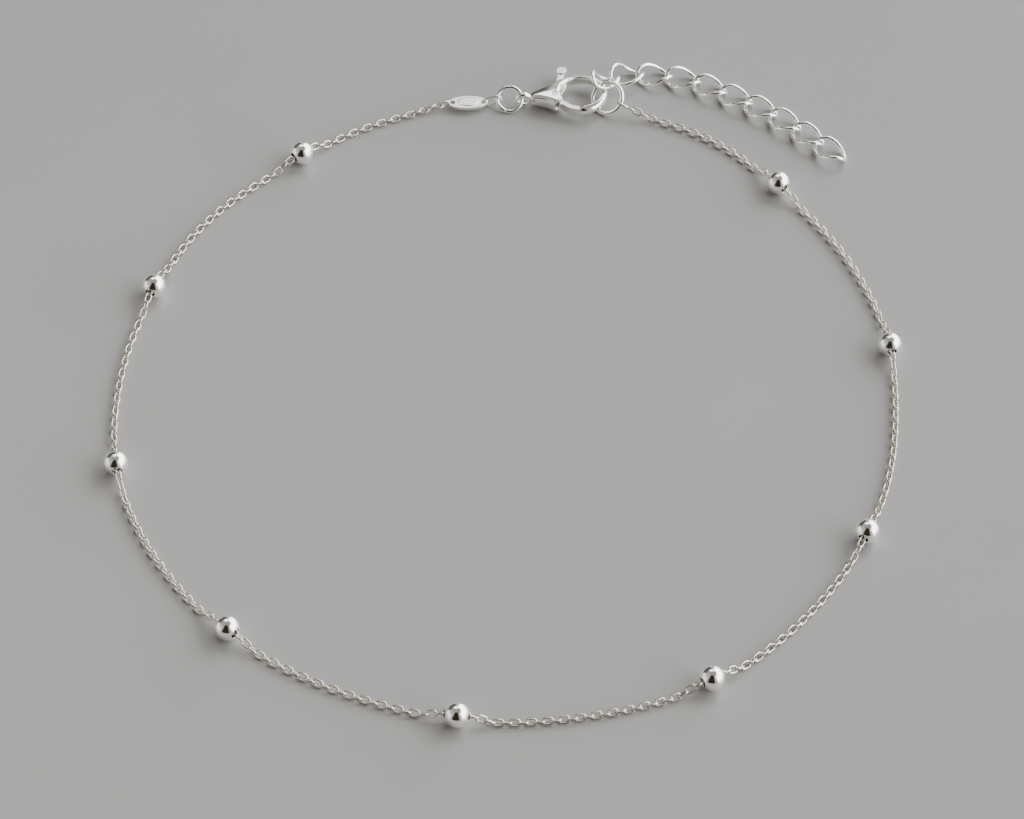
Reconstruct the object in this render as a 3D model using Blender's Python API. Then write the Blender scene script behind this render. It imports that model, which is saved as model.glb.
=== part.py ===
"""Station-bead anklet lying open on a surface.

Nine plain round beads ride on a fine trace chain. A lobster clasp hangs at one end on
a small ring, a soldered link and an oval tag. The clasp is hooked into a larger ring
at the chain's other end, and a tail of ten twisted curb links hangs on that ring.

Frame: +Z up, the surface at Z = 0, the loop's bounding box centred on the origin.
+X runs to the right and +Y away from the wearer's side, where the clasp lies.
Sizes are in millimetres, times MM for Blender's metres.
"""
import math

import bmesh
import bpy
import numpy as np
from mathutils import Euler, Matrix, Vector

MM = 0.001

# Centre of the bounding box in the frame that the route below is measured in
FRAME_CENTRE = (0.0, -0.24)

# Beads and trace chain
BEAD_RADIUS = 1.25
BEAD_BORE_RADIUS = 0.50
BEAD_SIDES = 16
BEAD_BANDS = 9
CHAIN_RADIUS = 0.35
CHAIN_LEVEL_LENGTH = 1.0
CHAIN_RAMP_END = 4.2
CHAIN_STATIONS = (1.5, 3.4)
CHAIN_MID_STATIONS = 3
SPAN_SAMPLES = 60
TAG_END_LIFT = 0.22
RING_END_LIFT = 0.85

# The route by which the chain lies, from the tag round to the end ring
ROUTE = [
    # x, y, carries a bead
    (-6.95, 40.00, False),
    (-12.5, 37.9, False),
    (-17.4, 35.5, False),
    (-22.6, 31.6, True),
    (-28.7, 26.4, False),
    (-33.8, 20.1, False),
    (-37.6, 11.6, True),
    (-39.7, 4.0, False),
    (-40.6, -4.0, False),
    (-40.0, -13.2, True),
    (-37.6, -20.6, False),
    (-33.6, -27.7, False),
    (-27.6, -34.6, True),
    (-20.9, -39.5, False),
    (-13.4, -43.0, False),
    (-4.9, -45.3, True),
    (3.7, -45.4, False),
    (12.0, -43.9, False),
    (19.9, -40.8, True),
    (26.9, -35.3, False),
    (32.1, -29.1, False),
    (36.1, -22.2, True),
    (39.1, -13.1, False),
    (40.1, -4.8, False),
    (40.0, 3.2, True),
    (37.8, 12.6, False),
    (34.2, 20.2, False),
    (29.4, 27.0, True),
    (24.6, 32.6, False),
    (19.4, 36.2, False),
    (12.9, 38.80, False),
]

# Tag
TAG_CENTRE = (-4.50, 40.13, 0.42)
TAG_YAW = 2.0
TAG_LENGTH = 4.4
TAG_WIDTH = 2.0
TAG_THICKNESS = 0.35
TAG_SIDES = 32
TAG_END_POWER = 0.85
TAG_SIDE_POWER = 0.80
TAG_HOLE_RADIUS = 0.28
TAG_HOLE_INSET = 0.50
HOLE_SIDES = 16
PANEL_LENGTH = 2.2
PANEL_WIDTH = 1.2
PANEL_RISE = 0.08
PANEL_MARGIN = 0.2

# Soldered link through the tag's hole
TAG_LINK_CENTRE = (-1.78, 40.24, 0.82)
TAG_LINK_LENGTH = 2.31
TAG_LINK_WIDTH = 1.24
TAG_LINK_WIRE = 0.11
TAG_LINK_TILT = 19.6
TAG_LINK_END_POINTS = 8

# Jump rings
CLASP_RING_RADIUS = 1.36
CLASP_RING_WIRE = 0.21
CLASP_RING_CENTRE = (0.14, 40.29, 1.02)
CLASP_RING_TILT = 36.0
END_RING_RADIUS = 1.75
END_RING_WIRE = 0.25
END_RING_CENTRE = (11.00, 40.04, 1.47)
END_RING_ANGLES = (40.3, -20.5, -12.8)
RING_SEGMENTS = 16

# Clasp. Its own frame has its origin at the hook ring's centre, +x to the hook's end.
CLASP_CENTRE = (8.12, 40.80, 1.20)
CLASP_YAW = 4.4
CLASP_LIFT = 1.8
OPENING_FLARE = [
    # radius, height of the hook ring's opening above the clasp's middle plane
    (2.20, 0.36),
    (2.30, 0.50),
    (2.46, 0.75),
    (2.60, 1.50),
]
EYE_X = -6.49
EYE_RADIUS = 0.725
EYE_WALL = 0.225
EYE_DEPTH = 0.32
BODY_SECTIONS = [
    # x, half width, half thickness, squareness
    (-5.80, 0.45, 0.56, 2.2),
    (-5.20, 0.60, 0.70, 2.4),
    (-4.60, 0.82, 0.84, 2.6),
    (-3.80, 1.20, 0.93, 2.8),
    (-3.10, 1.68, 0.95, 3.0),
    (-2.40, 2.17, 0.90, 3.2),
    (-1.45, 2.51, 0.80, 3.6),
    (-0.50, 2.86, 0.72, 4.0),
    (0.60, 2.84, 0.65, 4.4),
    (1.50, 2.48, 0.60, 4.8),
    (2.25, 1.83, 0.57, 5.0),
    (2.70, 1.06, 0.55, 5.0),
    (2.88, 0.34, 0.50, 5.0),
]
BODY_SIDES = 20
PIN_X = -3.0
PIN_Y = -0.3
PIN_RADIUS = 0.30
PIN_HALF_LENGTH = 0.92
PIN_SIDES = 12
BODY_HOLE_RADIUS = 0.33
HUB_HOLE_RADIUS = 0.36
HUB_RADIUS = 0.72
SLOT_HALF = 0.36
LEVER_HALF = 0.30
GATE_HALF = 0.50
GATE_INNER = 2.25
GATE_OUTER = 2.83
GATE_ROOT_ANGLE = -146.0
GATE_OUTER_END = -106.0
GATE_INNER_END = -101.0
GATE_TIP_HALF = 0.42
GATE_POINTS = 7
ARM_OUTER = 2.77
ARM_INNER = 2.31
ARM_START = -151.0
ARM_END = -140.0
ARM_POINTS = 3
BODY_CUT_ANGLE = -153.0
HOOK_FACE = (-0.115, -2.535)
HOOK_FACE_ANGLE = 42.0
TIP_GAP = 0.08
THUMB_CENTRE = (-1.93, 3.72)
THUMB_RADIUS = 0.55
THUMB_ARM = 0.35
SPRING_HOLE_X = -5.30
SPRING_HOLE_RADIUS = 0.23
SPRING_HOLE_DEPTH = 0.30
OPENING_SIDES = 36
HUB_SIDES = 24
CUT_REACH = 3.2
GATE_GAP_FROM_FACE = [
    # along the hook's end face, across it
    (-1.0, 0.0),
    (0.9, 0.0),
]
GATE_GAP_FROM_CENTRE = [
    # radius and angle about the hook ring's centre
    (1.4, -100.0),
    (1.4, BODY_CUT_ANGLE),
    (3.8, BODY_CUT_ANGLE),
    (4.4, -125.0),
]
LEVER_SLOT = [
    # x, y of the slot's plan, which runs through both sides of the body
    (PIN_X - 0.80, CUT_REACH),
    (PIN_X - 0.80, PIN_Y - 0.35),
    (PIN_X - 0.60, PIN_Y - 0.75),
    (PIN_X - 0.10, PIN_Y - 1.10),
    (PIN_X - 0.10, -CUT_REACH),
    (-1.55, -CUT_REACH),
    (-1.55, CUT_REACH),
]

# Extender tail
LINK_HALF_LENGTH = 1.95
LINK_HALF_WIDTH = 1.375
LINK_WIRE = 0.22
LINK_TWIST = -45.0
LINK_SEGMENTS = 16
FIRST_LINKS = [
    # x, y, z, roll, pitch, yaw of the links that lean on the end ring
    (10.64, 42.42, 2.05, 0.9, -29.9, -136.2),
    (13.16, 44.14, 1.14, 4.4, 16.4, 19.6),
]
TAIL_ROUTE = [
    # x, y of the curve that the other links' centres lie on
    (16.34, 44.42),
    (19.68, 43.77),
    (22.82, 42.25),
    (28.46, 38.66),
    (35.65, 32.08),
]
TAIL_HEIGHT = 0.74
TAIL_PITCH = 3.27
TAIL_COUNT = 8

SILVER = (0.86, 0.86, 0.85, 1.0)
SOFT_SILVER = (0.80, 0.80, 0.79, 1.0)


def clear_scene():
    """Remove every object of the open scene."""
    for item in list(bpy.data.objects):
        bpy.data.objects.remove(item, do_unlink=True)


def make_material(name, colour, roughness):
    """Return a metal with the given colour and roughness."""
    material = bpy.data.materials.new(name)
    material.use_nodes = True
    shader = material.node_tree.nodes["Principled BSDF"]
    shader.inputs["Base Color"].default_value = colour
    shader.inputs["Roughness"].default_value = roughness
    shader.inputs["Metallic"].default_value = 1.0
    return material


def framed(x, y, z):
    """Return a measured place as metres in the part's own frame."""
    return Vector((x - FRAME_CENTRE[0], y - FRAME_CENTRE[1], z)) * MM


def link_object(name, data, material):
    """Put mesh or curve data into the scene under its sub-part's name."""
    data.materials.append(material)
    item = bpy.data.objects.new(name, data)
    bpy.context.scene.collection.objects.link(item)
    return item


def finish_mesh(name, bm, material, sharp_angle=40.0):
    """Turn a bmesh into a smooth-shaded object with its faces outward."""
    bmesh.ops.recalc_face_normals(bm, faces=bm.faces)
    mesh = bpy.data.meshes.new(name)
    bm.to_mesh(mesh)
    bm.free()
    mesh.shade_smooth()
    mesh.set_sharp_from_angle(angle=math.radians(sharp_angle))
    return link_object(name, mesh, material)


def place(item, location, angles=(0.0, 0.0, 0.0)):
    """Set an object's location and its XYZ angles in degrees."""
    item.location = location
    item.rotation_euler = Euler([math.radians(angle) for angle in angles])
    return item


def wire_curve(name, points, radius, material, resolution, cyclic):
    """Make a round wire or tube along the given points, in metres."""
    curve = bpy.data.curves.new(name, "CURVE")
    curve.dimensions = "3D"
    curve.bevel_depth = radius
    curve.bevel_resolution = resolution
    curve.use_fill_caps = not cyclic
    spline = curve.splines.new("POLY")
    spline.points.add(len(points) - 1)
    for target, point in zip(spline.points, points):
        target.co = (*point, 1.0)
    spline.use_cyclic_u = cyclic
    return link_object(name, curve, material)


def spline_through(knots, count_per_span):
    """Sample the natural cubic spline through the knots and its running length."""
    knots = np.array(knots)
    steps = np.linalg.norm(np.diff(knots, axis=0), axis=1)
    size = len(knots)
    matrix = np.zeros((size, size))
    right = np.zeros((size, knots.shape[1]))
    matrix[0, 0] = 1.0
    matrix[-1, -1] = 1.0
    for i in range(1, size - 1):
        before, after = steps[i - 1], steps[i]
        matrix[i, i - 1:i + 2] = (before, 2.0 * (before + after), after)
        right[i] = 6.0 * ((knots[i + 1] - knots[i]) / after - (knots[i] - knots[i - 1]) / before)
    bend = np.linalg.solve(matrix, right)
    points = []
    for i, length in enumerate(steps):
        for share in np.linspace(0.0, 1.0, count_per_span, endpoint=False):
            a, b = 1.0 - share, share
            points.append(a * knots[i] + b * knots[i + 1]
                          + ((a ** 3 - a) * bend[i] + (b ** 3 - b) * bend[i + 1]) * length ** 2 / 6.0)
    points = np.array([*points, knots[-1]])
    run = np.concatenate([[0.0], np.cumsum(np.linalg.norm(np.diff(points, axis=0), axis=1))])
    return points, run


def chain_path():
    """Return the chain's dense plan curve, its running length and each bead's length."""
    points, run = spline_through([(x, y) for x, y, _ in ROUTE], SPAN_SAMPLES)
    beads = [run[index * SPAN_SAMPLES] for index, row in enumerate(ROUTE) if row[2]]
    return points, run, beads


def ease(away, start, end):
    """Fall smoothly from one to nought as a distance goes from start to end."""
    share = np.clip((away - start) / (end - start), 0.0, 1.0)
    return 0.5 * (1.0 + math.cos(math.pi * share))


def chain_height(length, total, beads):
    """Return the chain's middle height: raised in each bead and at its two ends."""
    height = CHAIN_RADIUS
    for bead in beads:
        height += (BEAD_RADIUS - CHAIN_RADIUS) * ease(abs(length - bead), CHAIN_LEVEL_LENGTH, CHAIN_RAMP_END)
    height += TAG_END_LIFT * ease(length, 0.0, CHAIN_RAMP_END)
    return height + RING_END_LIFT * ease(total - length, 0.0, CHAIN_RAMP_END)


def along(points, run, length):
    """Return the plan point at a running length and the heading there in degrees."""
    step = 0.05
    here, ahead, behind = (
        [np.interp(at, run, points[:, axis]) for axis in (0, 1)] for at in (length, length + step, length - step)
    )
    return here, math.degrees(math.atan2(ahead[1] - behind[1], ahead[0] - behind[0]))


def chain_point(length, path):
    """Return the chain's place in metres at a running length, and its plan heading."""
    points, run, beads = path
    here, heading = along(points, run, length)
    return framed(*here, chain_height(length, run[-1], beads)), heading


def build_trace_chain(path, material):
    """Make the chain's tube, with more stations where it climbs into a bead."""
    _, run, beads = path
    stops = [0.0, *beads, run[-1]]
    lengths = []
    for start, end in zip(stops, stops[1:]):
        near = [start, *(start + station for station in CHAIN_STATIONS)]
        far = [end - station for station in reversed(CHAIN_STATIONS)]
        middle = np.linspace(near[-1], far[0], CHAIN_MID_STATIONS + 2)[1:-1]
        lengths += [*near, *middle, *far]
    lengths.append(run[-1])
    points = [chain_point(length, path)[0] for length in lengths]
    return wire_curve("trace_chain", points, CHAIN_RADIUS * MM, material, 2, False)


def build_beads(path, material):
    """Spin each bored bead about its own X axis and set it along the chain."""
    reach = math.acos(BEAD_BORE_RADIUS / BEAD_RADIUS)
    for number, length in enumerate(path[2], 1):
        bm = bmesh.new()
        profile = []
        for angle in np.linspace(-reach, reach, BEAD_BANDS + 1):
            x, z = BEAD_RADIUS * math.sin(angle), BEAD_RADIUS * math.cos(angle)
            profile.append(bm.verts.new((x * MM, 0.0, z * MM)))
        edges = [bm.edges.new(pair) for pair in zip(profile, profile[1:] + profile[:1])]
        bmesh.ops.spin(bm, geom=profile + edges, cent=(0, 0, 0), axis=(1, 0, 0),
                       angle=2.0 * math.pi, steps=BEAD_SIDES, use_merge=True)
        centre, heading = chain_point(length, path)
        place(finish_mesh(f"bead_{number}", bm, material, 50.0), centre, (0.0, 0.0, heading))


def prism(points, low, high):
    """Return a bmesh of a plan outline, in millimetres, run from one height to another."""
    bm = bmesh.new()
    face = bm.faces.new([bm.verts.new((x * MM, y * MM, low * MM)) for x, y in points])
    top = bmesh.ops.extrude_face_region(bm, geom=[face])["geom"]
    moved = [item for item in top if isinstance(item, bmesh.types.BMVert)]
    bmesh.ops.translate(bm, verts=moved, vec=(0.0, 0.0, (high - low) * MM))
    return bm


def loft(rings):
    """Return a bmesh skinned through rings of points and closed at both ends."""
    bm = bmesh.new()
    loops = [[bm.verts.new(point) for point in ring] for ring in rings]
    for lower, upper in zip(loops, loops[1:]):
        for corners in zip(lower, lower[1:] + lower[:1], upper[1:] + upper[:1], upper):
            bm.faces.new(corners)
    bm.faces.new(loops[0])
    bm.faces.new(loops[-1])
    return bm


def arc(radius, start, end, count, centre=(0.0, 0.0)):
    """Return plan points along an arc between two angles in degrees."""
    points = []
    for angle in np.radians(np.linspace(start, end, count)):
        points.append((centre[0] + radius * math.cos(angle), centre[1] + radius * math.sin(angle)))
    return points


def circle(radius, sides, centre=(0.0, 0.0)):
    """Return the corners of a round plan outline."""
    return arc(radius, 0.0, 360.0, sides + 1, centre)[:-1]


def tool(item):
    """Hide a guide object, which only shapes another piece."""
    item.hide_render = True
    item.display_type = "WIRE"
    return item


def combine(item, other, operation):
    """Add a Boolean with another object to the piece."""
    modifier = item.modifiers.new(other.name, "BOOLEAN")
    modifier.operation = operation
    modifier.solver = "EXACT"
    modifier.object = tool(other)


def build_tag(material):
    """Make the oval tag with a raised bare panel and a hole at each end."""
    outline = []
    for angle in np.linspace(0.0, 2.0 * math.pi, TAG_SIDES, endpoint=False):
        c, s = math.cos(angle), math.sin(angle)
        x = TAG_LENGTH / 2.0 * math.copysign(abs(c) ** TAG_END_POWER, c)
        y = TAG_WIDTH / 2.0 * math.copysign(abs(s) ** TAG_SIDE_POWER, s)
        outline.append((x, y))
    bm = prism(outline, 0.0, TAG_THICKNESS)
    top = max(bm.faces, key=lambda face: face.calc_center_median().z)
    bmesh.ops.inset_region(bm, faces=[top], thickness=PANEL_MARGIN * MM)
    reach = max(vert.co.x for vert in top.verts)
    side = max(vert.co.y for vert in top.verts)
    for vert in top.verts:
        vert.co.x *= PANEL_LENGTH / 2.0 * MM / reach
        vert.co.y *= PANEL_WIDTH / 2.0 * MM / side
    raised = bmesh.ops.extrude_face_region(bm, geom=[top])["geom"]
    bmesh.ops.delete(bm, geom=[top], context="FACES_ONLY")
    moved = [item for item in raised if isinstance(item, bmesh.types.BMVert)]
    bmesh.ops.translate(bm, verts=moved, vec=(0.0, 0.0, PANEL_RISE * MM))
    tag = place(finish_mesh("tag", bm, material), framed(*TAG_CENTRE), (0.0, 0.0, TAG_YAW))
    for number, side in enumerate((-1.0, 1.0), 1):
        x = side * (TAG_LENGTH / 2.0 - TAG_HOLE_INSET)
        hole = prism(circle(TAG_HOLE_RADIUS, HOLE_SIDES, (x, 0.0)), -CUT_REACH, CUT_REACH)
        cutter = finish_mesh(f"tag_hole_{number}", hole, material)
        cutter.parent = tag
        combine(tag, cutter, "DIFFERENCE")


def build_tag_link(material):
    """Make the upright soldered link that joins the tag to the clasp's ring."""
    half = TAG_LINK_WIDTH / 2.0 - TAG_LINK_WIRE
    straight = TAG_LINK_LENGTH / 2.0 - TAG_LINK_WIRE - half
    right = arc(half, -90.0, 90.0, TAG_LINK_END_POINTS, (straight, 0.0))
    left = arc(half, 90.0, 270.0, TAG_LINK_END_POINTS, (-straight, 0.0))
    points = [(x * MM, 0.0, z * MM) for x, z in right + left]
    link = wire_curve("tag_link", points, TAG_LINK_WIRE * MM, material, 1, True)
    place(link, framed(*TAG_LINK_CENTRE), (0.0, -TAG_LINK_TILT, 0.0))


def build_ring(name, radius, wire, material):
    """Make a jump ring, closed, lying about its own Z axis."""
    points = [(x * MM, y * MM, 0.0) for x, y in circle(radius, RING_SEGMENTS)]
    return wire_curve(name, points, wire * MM, material, 1, True)


def superellipse(x, width, height, power):
    """Return the rounded section of the clasp at one x, in metres."""
    points = []
    for angle in np.linspace(0.0, 2.0 * math.pi, BODY_SIDES, endpoint=False):
        c, s = math.cos(angle), math.sin(angle)
        y = width * math.copysign(abs(c) ** (2.0 / power), c)
        z = height * math.copysign(abs(s) ** (2.0 / power), s)
        points.append((x * MM, y * MM, z * MM))
    return points


def hook_face_point(along, across):
    """Return a plan point measured from the middle of the hook's slanted end face."""
    angle = math.radians(HOOK_FACE_ANGLE)
    x = HOOK_FACE[0] + along * math.cos(angle) - across * math.sin(angle)
    y = HOOK_FACE[1] + along * math.sin(angle) + across * math.cos(angle)
    return x, y


def polar(radius, angle):
    """Return a plan point about the hook ring's centre."""
    return radius * math.cos(math.radians(angle)), radius * math.sin(math.radians(angle))


def build_clasp_body(holder, material):
    """Loft the clasp's body, join its eye, and cut the ring, the gate's gap and the slot."""
    body = finish_mesh("clasp_body", loft([superellipse(*row) for row in BODY_SECTIONS]), material)
    body.parent = holder

    bpy.ops.mesh.primitive_torus_add(major_segments=20, minor_segments=8, major_radius=EYE_RADIUS * MM,
                                     minor_radius=EYE_WALL * MM)
    eye = bpy.context.object
    eye.name = "eye_shape"
    eye.data.transform(Matrix.Diagonal((1.0, 1.0, EYE_DEPTH / EYE_WALL, 1.0)))
    eye.parent = holder
    place(eye, (EYE_X * MM, 0.0, 0.0), (90.0, 0.0, 0.0))
    combine(body, eye, "UNION")

    gap = [hook_face_point(*row) for row in GATE_GAP_FROM_FACE]
    gap += [polar(*row) for row in GATE_GAP_FROM_CENTRE]
    flare = [(radius, -height) for radius, height in reversed(OPENING_FLARE)] + OPENING_FLARE
    opening = [[(x * MM, y * MM, height * MM) for x, y in circle(radius, OPENING_SIDES)]
               for radius, height in flare]
    pin_hole = circle(BODY_HOLE_RADIUS, HOLE_SIDES, (PIN_X, PIN_Y))
    cuts = [
        ("ring_opening", loft(opening)),
        ("gate_gap", prism(gap, -CUT_REACH, CUT_REACH)),
        ("lever_slot", prism(LEVER_SLOT, -SLOT_HALF, SLOT_HALF)),
        ("pin_hole", prism(pin_hole, -CUT_REACH, CUT_REACH)),
    ]
    for name, bm in cuts:
        cutter = finish_mesh(name, bm, material)
        cutter.parent = holder
        combine(body, cutter, "DIFFERENCE")

    pocket = prism(circle(SPRING_HOLE_RADIUS, PIN_SIDES), SPRING_HOLE_DEPTH, CUT_REACH)
    cutter = finish_mesh("spring_hole", pocket, material)
    cutter.parent = holder
    place(cutter, (SPRING_HOLE_X * MM, 0.0, 0.0), (90.0, 0.0, 0.0))
    combine(body, cutter, "DIFFERENCE")


def build_clasp_lever(holder, material):
    """Make the gate and its thumb tab as one lever about the pin's axis."""
    tip = [hook_face_point(-GATE_TIP_HALF, TIP_GAP), hook_face_point(GATE_TIP_HALF, TIP_GAP)]
    gate = [*arc(GATE_OUTER, GATE_ROOT_ANGLE, GATE_OUTER_END, GATE_POINTS), *tip,
            *arc(GATE_INNER, GATE_INNER_END, GATE_ROOT_ANGLE, GATE_POINTS)]
    arm = [(PIN_X + 0.2, PIN_Y - 0.70), *arc(ARM_OUTER, ARM_START, ARM_END, ARM_POINTS),
           *arc(ARM_INNER, ARM_END, BODY_CUT_ANGLE, ARM_POINTS), (PIN_X + 0.65, PIN_Y)]
    toward = math.atan2(THUMB_CENTRE[1] - PIN_Y, THUMB_CENTRE[0] - PIN_X)
    side = (-math.sin(toward) * THUMB_ARM, math.cos(toward) * THUMB_ARM)
    bar = [
        (PIN_X + side[0], PIN_Y + side[1]),
        (PIN_X - side[0], PIN_Y - side[1]),
        (THUMB_CENTRE[0] - side[0], THUMB_CENTRE[1] - side[1]),
        (THUMB_CENTRE[0] + side[0], THUMB_CENTRE[1] + side[1]),
    ]
    pivot = (PIN_X, PIN_Y)
    shapes = [
        ("clasp_lever", prism(circle(HUB_RADIUS, HUB_SIDES, pivot), -LEVER_HALF, LEVER_HALF)),
        ("gate_shape", prism(gate, -GATE_HALF, GATE_HALF)),
        ("gate_arm", prism(arm, -LEVER_HALF, LEVER_HALF)),
        ("thumb_arm", prism(bar, -LEVER_HALF, LEVER_HALF)),
        ("thumb_tab", prism(circle(THUMB_RADIUS, HUB_SIDES, THUMB_CENTRE), -GATE_HALF, GATE_HALF)),
        ("hub_hole", prism(circle(HUB_HOLE_RADIUS, HUB_SIDES, pivot), -CUT_REACH, CUT_REACH)),
    ]
    to_pivot = Matrix.Translation((-PIN_X * MM, -PIN_Y * MM, 0.0))
    items = [finish_mesh(name, bm, material) for name, bm in shapes]
    for item in items:
        item.data.transform(to_pivot)
    lever = items[0]
    lever.parent = holder
    lever.location = (PIN_X * MM, PIN_Y * MM, 0.0)
    for shape in items[1:]:
        shape.parent = lever
        combine(lever, shape, "DIFFERENCE" if shape.name == "hub_hole" else "UNION")


def build_clasp_pin(holder, material):
    """Make the rivet that the lever turns on."""
    outline = circle(PIN_RADIUS, PIN_SIDES)
    pin = finish_mesh("clasp_pin", prism(outline, -PIN_HALF_LENGTH, PIN_HALF_LENGTH), material)
    pin.parent = holder
    pin.location = (PIN_X * MM, PIN_Y * MM, 0.0)


def build_clasp(silver, soft_silver):
    """Make the clasp's three pieces on one tilted holder."""
    holder = bpy.data.objects.new("clasp_frame", None)
    bpy.context.scene.collection.objects.link(holder)
    place(holder, framed(*CLASP_CENTRE), (0.0, -CLASP_LIFT, CLASP_YAW))
    build_clasp_body(holder, silver)
    build_clasp_lever(holder, soft_silver)
    build_clasp_pin(holder, soft_silver)


def twisted_link_points():
    """Return one curb link's wire, an oval twisted about its length, in metres."""
    points = []
    for angle in np.linspace(0.0, 2.0 * math.pi, LINK_SEGMENTS, endpoint=False):
        turn = math.radians(LINK_TWIST) * math.cos(angle)
        across = LINK_HALF_WIDTH * math.sin(angle)
        x = LINK_HALF_LENGTH * math.cos(angle)
        points.append((x * MM, across * math.cos(turn) * MM, across * math.sin(turn) * MM))
    return points


def build_extender(material):
    """Make the ten curb links of the tail, each through the next."""
    poses = [(row[:3], row[3:]) for row in FIRST_LINKS]
    points, run = spline_through(TAIL_ROUTE, SPAN_SAMPLES)
    for number in range(TAIL_COUNT):
        here, heading = along(points, run, number * TAIL_PITCH)
        poses.append(((*here, TAIL_HEIGHT), (0.0, 0.0, heading)))
    for number, (centre, angles) in enumerate(poses, 1):
        link = wire_curve(f"extender_link_{number}", twisted_link_points(), LINK_WIRE * MM, material, 1, True)
        place(link, framed(*centre), angles)


def main():
    """Build the whole anklet."""
    clear_scene()
    silver = make_material("polished_silver", SILVER, 0.12)
    soft_silver = make_material("soft_silver", SOFT_SILVER, 0.25)
    path = chain_path()
    build_trace_chain(path, silver)
    build_beads(path, silver)
    build_tag(soft_silver)
    build_tag_link(silver)
    clasp_ring = build_ring("clasp_ring", CLASP_RING_RADIUS, CLASP_RING_WIRE, silver)
    place(clasp_ring, framed(*CLASP_RING_CENTRE), (CLASP_RING_TILT, 0.0, 0.0))
    end_ring = build_ring("end_ring", END_RING_RADIUS, END_RING_WIRE, silver)
    place(end_ring, framed(*END_RING_CENTRE), END_RING_ANGLES)
    build_clasp(silver, soft_silver)
    build_extender(silver)


main()
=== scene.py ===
"""The station-bead anklet, dressed for its picture.

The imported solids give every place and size. This script models the same pieces again with
the detail that the solids leave out, such as the trace chain's real links, the beads' rims
and the soft edges of the cast clasp, and gives each its silver.

Sizes are in millimetres in the frame that the chain's route is measured in. A piece is
modelled about its own middle and then seated, which turns it into metres in the row frame.
"""
from __future__ import annotations

import logging
import math
from contextlib import contextmanager
from dataclasses import dataclass, field
from enum import Enum
from typing import Callable, Iterator

import bmesh
import bpy
import numpy as np
from bpy.types import Material, Node, NodeSocket, NodeTree, Object
from mathutils import Euler, Matrix, Vector

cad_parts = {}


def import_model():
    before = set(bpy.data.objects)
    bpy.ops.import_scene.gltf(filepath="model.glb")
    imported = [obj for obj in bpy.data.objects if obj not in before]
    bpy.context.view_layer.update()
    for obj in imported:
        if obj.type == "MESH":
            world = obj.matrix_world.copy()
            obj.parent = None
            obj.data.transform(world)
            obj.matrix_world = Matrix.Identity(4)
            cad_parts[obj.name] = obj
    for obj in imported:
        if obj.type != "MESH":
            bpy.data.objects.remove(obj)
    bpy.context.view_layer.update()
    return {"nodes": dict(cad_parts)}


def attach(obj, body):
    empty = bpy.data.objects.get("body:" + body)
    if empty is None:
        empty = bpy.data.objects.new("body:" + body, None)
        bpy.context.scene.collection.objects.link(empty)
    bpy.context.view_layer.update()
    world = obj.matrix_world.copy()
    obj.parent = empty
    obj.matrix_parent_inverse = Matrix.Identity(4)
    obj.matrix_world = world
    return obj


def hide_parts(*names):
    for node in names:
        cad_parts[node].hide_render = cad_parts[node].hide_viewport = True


LOG = logging.getLogger("anklet")
SOFT_NODES = ("tag", "clasp_lever", "clasp_pin")
# a millimetre in metres, and the way from the measured frame to the row frame
MM = 0.001
FRAME_SHIFT = Vector((0.0, 0.24, 0.0))
# how near two places have to be to count as one
WELD = 1e-4
# how far to each side a line's heading is read
HEADING_STEP = 0.05
# sides of a round part, and of one whose outline shows most
ROUND_SIDES = 64
FINE_SIDES = 96
# steps in a rounded edge
RIM_STEPS = 4
# rounds of smoothing, before and after the last hole is drilled
FIRST_TUMBLE = 2
LAST_TUMBLE = 4

Point = tuple[float, float, float]
Tone = tuple[float, float, float]
Plan = tuple[float, float]
Span = tuple[float, float]


class Body(Enum):
    """The bodies that a piece can ride on."""

    ANKLET = "anklet"
    LEVER = "lever"


class Slot(Enum):
    """The record's two finishes."""

    POLISHED = "polished_silver"
    SOFT = "soft_silver"


class Pick(Enum):
    """What is selected in edit mode."""

    VERTS = "VERT"
    EDGES = "EDGE"
    FACES = "FACE"


def clear_selection() -> None:
    """Leave edit mode and deselect every object."""
    if bpy.context.object and bpy.context.object.mode != "OBJECT":
        bpy.ops.object.mode_set(mode="OBJECT")
    bpy.ops.object.select_all(action="DESELECT")


def activate(item: Object) -> None:
    """Make an object the only selected and active one.

    Args:
        item: the object that the next operators work on.
    """
    clear_selection()
    item.select_set(True)
    bpy.context.view_layer.objects.active = item


@contextmanager
def editing(item: Object, pick: Pick = Pick.VERTS, whole: bool = False) -> Iterator[None]:
    """Open an object's mesh in edit mode, with nothing or all of it selected.

    Args:
        item: the object to open.
        pick: which kind of element is selected.
        whole: whether everything starts selected.

    Returns:
        A context in which edit operators work on the object.
    """
    activate(item)
    bpy.ops.object.mode_set(mode="EDIT")
    bpy.ops.mesh.select_mode(type=pick.value)
    bpy.ops.mesh.select_all(action="SELECT" if whole else "DESELECT")
    try:
        yield
    finally:
        bpy.ops.object.mode_set(mode="OBJECT")


def select(pick: Pick, test: Callable[[Vector], bool]) -> None:
    """Select the open mesh's elements whose middle passes a test.

    Args:
        pick: vertices, edges or faces.
        test: says whether an element with this middle is wanted.
    """
    mesh = bpy.context.edit_object.data
    bm = bmesh.from_edit_mesh(mesh)
    if pick is Pick.VERTS:
        for vert in bm.verts:
            vert.select_set(test(vert.co))
    elif pick is Pick.EDGES:
        for edge in bm.edges:
            edge.select_set(test((edge.verts[0].co + edge.verts[1].co) / 2.0))
    else:
        for face in bm.faces:
            face.select_set(test(face.calc_center_median()))
    bmesh.update_edit_mesh(mesh)


def apply_modifier(item: Object, kind: str, **settings: object) -> None:
    """Give an object a modifier with these settings and apply it.

    Args:
        item: the object.
        kind: the modifier's type name.
        settings: the modifier's properties.
    """
    activate(item)
    modifier = item.modifiers.new(kind.lower(), kind)
    for name, value in settings.items():
        setattr(modifier, name, value)
    bpy.ops.object.modifier_apply(modifier=modifier.name)


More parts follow.
